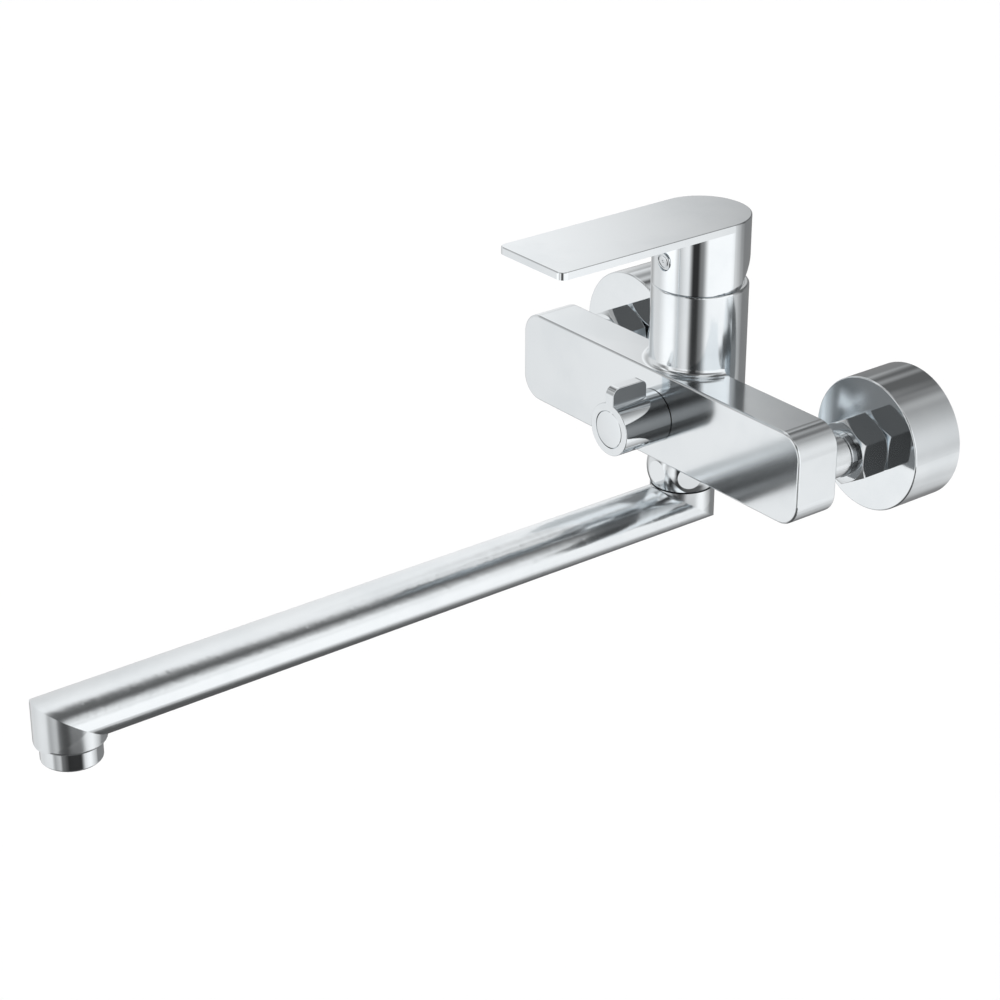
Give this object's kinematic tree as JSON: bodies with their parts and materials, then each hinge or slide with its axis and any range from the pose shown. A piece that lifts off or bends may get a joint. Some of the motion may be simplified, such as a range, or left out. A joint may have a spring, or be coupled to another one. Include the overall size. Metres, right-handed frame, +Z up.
{
  "type": "wall-mounted bath mixer",
  "caption": "Polished single-lever bath mixer with a flat slab body, upright cartridge tower, flat lever, diverter knob, long oval swivel spout and wall rosettes.",
  "frame": {"origin": "midway between the two wall inlets, on the finished wall", "axes": "+X along the wall to the right seen from the front, +Y into the wall, +Z up"},
  "size_m": [0.2068, 0.3859, 0.1462],
  "materials": {
    "body_chrome": "polished",
    "union_chrome": "polished",
    "nut_chrome": "polished",
    "rosette_chrome": "polished",
    "handle_chrome": "polished",
    "plug_chrome": "polished",
    "knob_chrome": "polished",
    "knob_disc_chrome": "polished",
    "spout_chrome": "polished",
    "aerator_chrome": "polished",
    "nipple_chrome": "polished",
    "shroud_chrome": "polished",
    "spring_steel": "plain",
    "stem_brass": "machined",
    "ring_brass": "machined",
    "valve_brass": "machined",
    "tail_brass": "machined",
    "washer_fibre": "matt",
    "seal_rubber": "matt",
    "disc_ceramic": "lapped",
    "cartridge_plastic": "moulded",
    "carrier_plastic": "moulded",
    "slip_plastic": "moulded",
    "insert_plastic": "moulded",
    "valve_plastic": "moulded"
  },
  "bodies": {
    "mixer": {"mixer_body": "body_chrome", "eccentric_union_left": "union_chrome", "eccentric_union_right": "union_chrome", "union_nut_left": "nut_chrome", "union_nut_right": "nut_chrome", "union_washer_left": "washer_fibre", "union_washer_right": "washer_fibre", "nut_retainer_left": "spring_steel", "nut_retainer_right": "spring_steel", "wall_rosette_left": "rosette_chrome", "wall_rosette_right": "rosette_chrome", "cartridge_base": "cartridge_plastic", "cartridge_base_seals": "seal_rubber", "cartridge_fixed_disc": "disc_ceramic", "cartridge_housing": "cartridge_plastic", "cartridge_ring": "ring_brass", "cartridge_shroud": "shroud_chrome", "diverter_body": "valve_brass", "diverter_fixed_disc": "disc_ceramic", "diverter_end_seal": "seal_rubber", "spout_swivel_nut": "nut_chrome", "spout_slip_rings": "slip_plastic", "shower_nipple": "nipple_chrome", "shower_check_valve": "valve_plastic"},
    "rotor": {"cartridge_rotor": "carrier_plastic", "cartridge_pivot_pin": "spring_steel"},
    "lever": {"handle_lever": "handle_chrome", "cartridge_stem": "stem_brass", "handle_set_screw": "spring_steel", "handle_plug": "plug_chrome"},
    "mixing_disc": {"cartridge_moving_disc": "disc_ceramic", "cartridge_disc_carrier": "carrier_plastic"},
    "diverter": {"diverter_spindle": "valve_brass", "diverter_spindle_rings": "seal_rubber", "diverter_moving_disc": "disc_ceramic", "diverter_knob": "knob_chrome", "diverter_knob_screw": "spring_steel", "diverter_knob_disc": "knob_disc_chrome"},
    "spout": {"spout_tube": "spout_chrome", "spout_tail": "tail_brass", "spout_o_rings": "seal_rubber", "aerator_housing": "aerator_chrome", "aerator_insert": "insert_plastic", "aerator_washer": "seal_rubber"}
  },
  "joints": [
    {"name": "lever_swivel", "type": "hinge", "parent": "mixer", "child": "rotor", "pos_m": [0, -0.0514, 0.0575], "axis": [0, 0, 1], "range_deg": [-50, 50]},
    {"name": "lever_lift", "type": "hinge", "parent": "rotor", "child": "lever", "pos_m": [0, -0.0514, 0.0575], "axis": [-1, 0, 0], "range_deg": [0, 22]},
    {"name": "disc_slide", "type": "slide", "parent": "rotor", "child": "mixing_disc", "axis": [0, -1, 0], "range_m": [0, 0.00631]},
    {"name": "diverter_turn", "type": "hinge", "parent": "mixer", "child": "diverter", "pos_m": [0, -0.075, 0.0075], "axis": [0, 1, 0], "range_deg": [0, 90]},
    {"name": "spout_swivel", "type": "hinge", "parent": "mixer", "child": "spout", "pos_m": [0, -0.05744, -0.0195], "axis": [0, 0, 1], "range_deg": [-90, 90]}
  ],
  "couplings": [
    {"joint": "disc_slide", "follows": "lever_lift", "m_per_rad": 0.016399}
  ]
}
